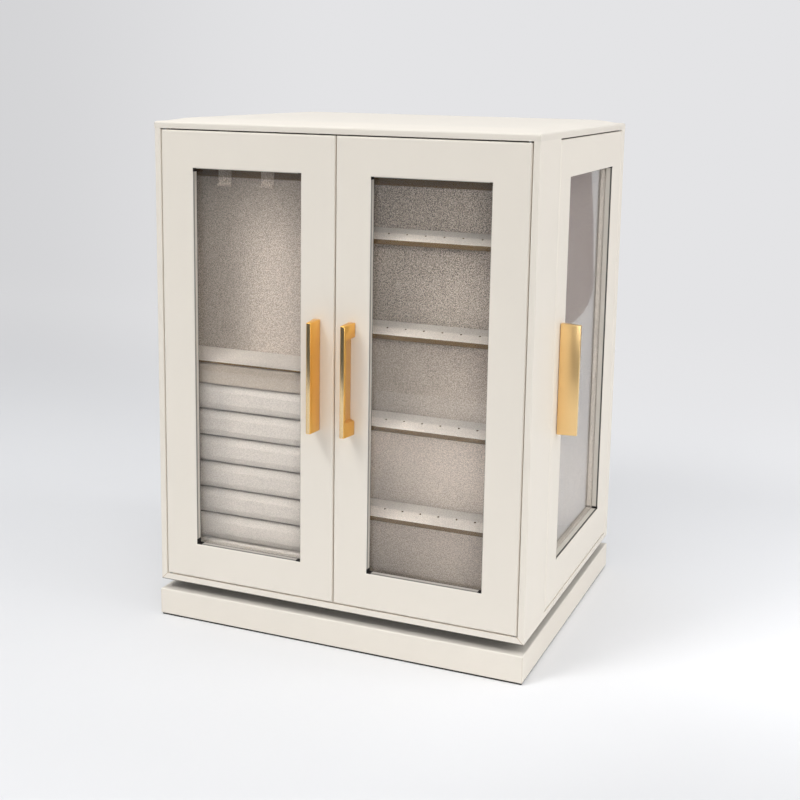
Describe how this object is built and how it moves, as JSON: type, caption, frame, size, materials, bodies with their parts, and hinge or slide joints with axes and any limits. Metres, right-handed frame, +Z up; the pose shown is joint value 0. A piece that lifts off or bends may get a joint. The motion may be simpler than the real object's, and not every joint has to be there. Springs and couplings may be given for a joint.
{
  "type": "turning earring cabinet",
  "caption": "Wrapped display cabinet on a turning plinth, with glazed front and side doors, stud shelves, a ring cushion and chain tabs.",
  "frame": {"origin": "on the turning axis, at the underside of the plinth's felt, where the cabinet meets the table", "axes": "+Z up along the turning axis; the front doors face -Y; +X is to the right of a viewer who faces the front doors"},
  "size_m": [0.2866, 0.2283, 0.3403],
  "materials": {
    "leather": "cream coated leather, fine grain, satin",
    "velvet": "short-pile grey-beige velvet",
    "felt": "dense dark felt",
    "glass": "clear polished",
    "gold": "gold plated, satin",
    "steel": "zinc plated, dull"
  },
  "bodies": {
    "base": {"plinth_board": "leather", "plinth_felt": "felt", "bearing_lower_plate": "steel"},
    "ball_ring": {"bearing_ball_ring": "steel"},
    "case": {"case_bottom": "leather", "case_top": "leather", "case_back": "leather", "case_front_side_left": "leather", "case_front_side_right": "leather", "case_rear_post_left": "leather", "case_rear_post_right": "leather", "bearing_upper_plate": "steel", "bearing_rivet": "steel", "partition": "velvet", "front_divider": "velvet", "rear_divider": "velvet", "display_lining_left": "velvet", "display_lining_right": "velvet", "side_lining_left": "velvet", "side_lining_right": "velvet", "stud_shelf_1": "velvet", "stud_shelf_2": "velvet", "stud_shelf_3": "velvet", "stud_shelf_4": "velvet", "ring_shelf": "velvet", "ring_foot_strip": "velvet", "ring_head_strip": "velvet", "ring_roll_1": "velvet", "ring_roll_2": "velvet", "ring_roll_3": "velvet", "ring_roll_4": "velvet", "ring_roll_5": "velvet", "ring_roll_6": "velvet", "chain_tab_1": "velvet", "chain_tab_2": "velvet", "chain_tab_3": "velvet"},
    "front_door_left": {"front_door_left_frame": "leather", "front_door_left_glass": "glass", "front_door_left_retainer": "velvet", "front_door_left_pin_foot": "steel", "front_door_left_pin_head": "steel", "front_door_left_pull": "gold"},
    "front_door_right": {"front_door_right_frame": "leather", "front_door_right_glass": "glass", "front_door_right_retainer": "velvet", "front_door_right_pin_foot": "steel", "front_door_right_pin_head": "steel", "front_door_right_pull": "gold"},
    "side_door_right": {"side_door_right_frame": "leather", "side_door_right_glass": "glass", "side_door_right_retainer": "velvet", "side_door_right_pin_foot": "steel", "side_door_right_pin_head": "steel", "side_door_right_pull": "gold"},
    "side_door_left": {"side_door_left_frame": "leather", "side_door_left_glass": "glass", "side_door_left_retainer": "velvet", "side_door_left_pin_foot": "steel", "side_door_left_pin_head": "steel", "side_door_left_pull": "gold"}
  },
  "joints": [
    {"name": "turntable_spin", "type": "hinge", "parent": "base", "child": "case", "pos_m": [0, 0, 0.0223], "axis": [0, 0, 1], "continuous": true},
    {"name": "ball_ring_roll", "type": "hinge", "parent": "base", "child": "ball_ring", "pos_m": [0, 0, 0.0223], "axis": [0, 0, 1], "continuous": true},
    {"name": "front_door_left_swing", "type": "hinge", "parent": "case", "child": "front_door_left", "pos_m": [-0.1231, -0.1051, 0.1817], "axis": [0, 0, -1], "range_deg": [0, 100]},
    {"name": "front_door_right_swing", "type": "hinge", "parent": "case", "child": "front_door_right", "pos_m": [0.1231, -0.1051, 0.1817], "axis": [0, 0, 1], "range_deg": [0, 100]},
    {"name": "side_door_right_swing", "type": "hinge", "parent": "case", "child": "side_door_right", "pos_m": [0.1281, 0.0956, 0.1817], "axis": [0, 0, 1], "range_deg": [0, 100]},
    {"name": "side_door_left_swing", "type": "hinge", "parent": "case", "child": "side_door_left", "pos_m": [-0.1281, 0.0956, 0.1817], "axis": [0, 0, -1], "range_deg": [0, 100]}
  ],
  "couplings": [
    {"joint": "ball_ring_roll", "follows": "turntable_spin", "ratio": 0.5}
  ]
}
